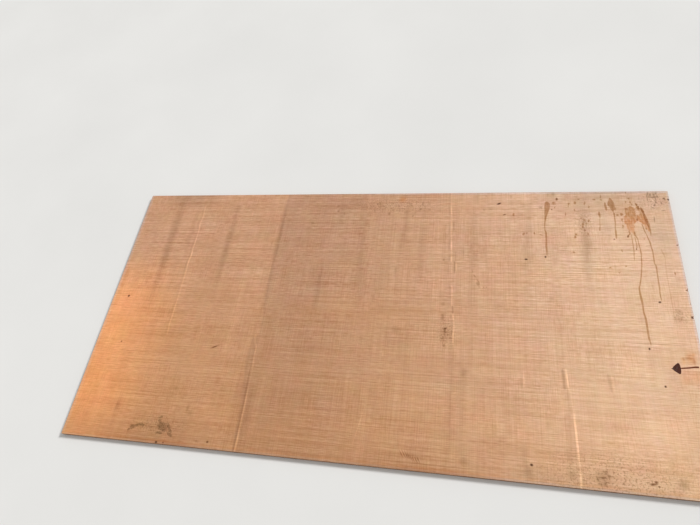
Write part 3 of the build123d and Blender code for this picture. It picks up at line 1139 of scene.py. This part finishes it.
# Each dark run of dirt and painted shade is (its points, how soft its edge is in millimetres, its strength)
dirty_and_shaded_runs = [
    ([(-230, -463, 0), (-280, -463, 4), (-330, -461, 5), (-400, -459, 6.5), (-500, -458, 6.5),
      (-560, -457.5, 4), (-610, -457.5, 4)], 6.0, 0.6),
    ([(250, 345, 0), (238, 345.5, 5), (204, 346.5, 5), (180, 347, 0)], 4.0, 0.7),
    ([(452, 337, 0), (440, 337.5, 5), (412, 338.5, 5), (396, 339, 0)], 6.0, 0.7),
    ([(38, 344, 0), (30, 344, 6), (8, 345, 6), (0, 345, 0)], 5.0, 0.6),
    ([(-196, 747, 0), (-222, 748, 8), (-262, 750, 8), (-290, 752, 0)], 7.0, 0.7),
    ([(-208, 901, 0), (-228, 902, 8), (-262, 906, 8), (-286, 908, 0)], 8.0, 0.45),
]


def line_marks(line, dirt_and_shade_share):
    """The pale crest and the dark foot of one line, as two masks."""
    places, middles, strengths = zip(*sorted(line))
    middle, step, steps = middle_line(face, y, places, middles)
    shows = face.curve(step, list(zip(steps, strengths)))
    from_crest = face.math("SUBTRACT", x, middle)
    near_crest = face.fade(face.math("ABSOLUTE", from_crest), crest_ends, crest_full)
    from_foot = face.math("ADD", from_crest, foot_from_crest)
    near_foot = face.fade(face.math("ABSOLUTE", from_foot), foot_ends, foot_full, 0.0, dirt_and_shade_share)
    return face.times(near_crest, shows), face.times(near_foot, shows)


pairs = [line_marks(line, foot_dirt_and_shade[name]) for name, line in show_through.items()]
pale, dark = [list(masks) for masks in zip(*pairs)]
pale.append(run(face, y, x, pale_run, edge=4.0, strength=0.55))
dark += [run(face, y, x, points, edge, strength) for points, edge, strength in dirty_and_shaded_runs]
# Dark feet: dirt and painted shade. Pale crests: sanded wood and a painted highlight.
tone = face.tint(tone, joined(face, dark), (0.63, 0.59, 0.54))
tone = face.tint(tone, joined(face, pale), (1.43, 1.46, 1.48))
print(len(pale), "pale crests and", len(dark), "dark feet")

# %% [markdown]
# ## Scratches
# Scratches are thin ovals, dark where dirt has got into them and pale where they are fresh. Near
# the front edge lie eight short strokes in a row, like a ladder. A loop draws them, and the pale
# side of each stroke is the same stroke moved over.

# %% Scratches
stroke_gap, stroke_turn, pale_offset = 9, 32, 4.5
strokes = []
for step in range(8):
    stroke_y = -556 + 4 * math.sin(step * 0.9) - 2.2 * step
    strokes.append((180 + stroke_gap * step, stroke_y, 3.6, 22 - step, stroke_turn))
beside = [(stroke_x + pale_offset, *rest) for stroke_x, *rest in strokes]
thin_scratches = [
    (448, 128, 3, 14), (443, 155, 3.5, 14, 30), (430, 176, 4, 16, 38), (420, 200, 2.5, 12, 12),
    (466, 125, 3, 6), (478, 125, 3, 6), (383, 290, 2, 50), (350, 270, 2, 50), (320, 205, 2, 40),
    (1078, -88, 150, 2.6), (903, 320, 54, 2.6), (780, 308, 42, 2.6), (780, 297, 42, 2.2),
]
scuffs = [
    (1137, 580, 4, 26), (1150, 590, 6, 15), (1163, 592, 5, 13), (1172, 598, 7, 9), (1176, 582, 4.5, 13),
    (1160, 577, 28, 6), (1160, 537, 5.5, 13, -20), (1152, 523, 9, 4.5, -20), (1166, 553, 4.5, 13),
    (1187, 548, 3.5, 11), (1190, 509, 13, 3.4), (1149, 465, 3.4, 24, -4), (1168, 575, 4, 28),
    (1141, 596, 4, 14), (1203, 568, 5, 14),
]
fresh_scratches = [
    (453, 145, 3, 14), (458, 122, 2.5, 7), (433, 152, 7, 7), (27, 252, 2.5, 20, 35), (-36, -140, 2, 24, 30),
    (-227, 152, 2, 12), (-207, 152, 2, 12), (78, -188, 4, 11), (1154, 532, 4, 7), (1156, 561, 5, 6),
    (714, 257, 2.5, 9), (817, 304, 5, 4), (833, 303, 3, 4), (1062, -106, 4, 7), (15, -470, 2.5, 120, -12),
    (-632, 485, 3, 60), (1078, -94, 150, 2.6),
]
tone = marked(face, tone, here, scuffs, (0.54, 0.50, 0.46), softness=0.9)
tone = marked(face, tone, here, strokes + thin_scratches, (0.68, 0.60, 0.53), softness=0.9, strength=0.85)
tone = marked(face, tone, here, fresh_scratches + beside, (1.20, 1.22, 1.24), softness=0.9, strength=0.8)

# %% [markdown]
# ## Worn edges, and the finished face
# Along its edges the face is bleached, in a strip a few millimetres wide that wavers, because the
# edge dries and wets first. The strip is a distance: the smallest of the distances to the four
# edges, each scaled so that its strip has its own width. Along the long edges the wood is redder.

# %% Edges of the face
wavering = face.noise(face.stretch(here, (30, 30, 1)), 1.0, 3.0)
front_strip = face.math("MULTIPLY_ADD", wavering, 14 * mm, y)
tone = face.tint(tone, face.fade(front_strip, -582 * mm, -594 * mm), (0.97, 0.91, 0.84))
red_edges = [
    (-770, -606, 170, 26), (320, -606, 230, 26), (250, 606, 160, 30), (306, 548, 90, 10),
]
tone = marked(face, tone, here, red_edges, (0.99, 0.90, 0.86))

left_scale, back_scale = 0.6, 0.7
bleach_ends, bleach_full = 7.5 * mm, 1.5 * mm
from_left = face.math("MULTIPLY_ADD", x, left_scale, left_scale * half_length)
from_right = face.math("SUBTRACT", half_length, x)
from_back = face.math("MULTIPLY_ADD", y, -back_scale, back_scale * half_width)
from_back = face.math("ADD", from_back, face.fade(x, 150 * mm, -350 * mm, 0.0, 8 * mm))
from_front = face.math("ADD", y, half_width)
from_edge = from_front
for other in (from_left, from_right, from_back):
    from_edge = face.math("MINIMUM", from_edge, other)
from_edge = face.math("MULTIPLY_ADD", wavering, -5 * mm, from_edge)
tone = face.tint(tone, face.fade(from_edge, bleach_ends, bleach_full), (0.97, 1.12, 1.40))
print("good face:", len(face.tree.nodes), "nodes")

# %% [markdown]
# ## Hand the sheet over
# The materials go onto the mesh in the order in which its faces were told their wood. The dressed
# mesh takes the place of the plain solid and rides where it rides.

# %% Replace the solid and finish
good_face = finish(face, tone, 0.6, bump, 0.08 * mm, shine=0.15)
for wood in [good_face] + plain_woods:
    mesh.materials.append(wood)

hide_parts("plywood_sheet")
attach(plywood, "root")
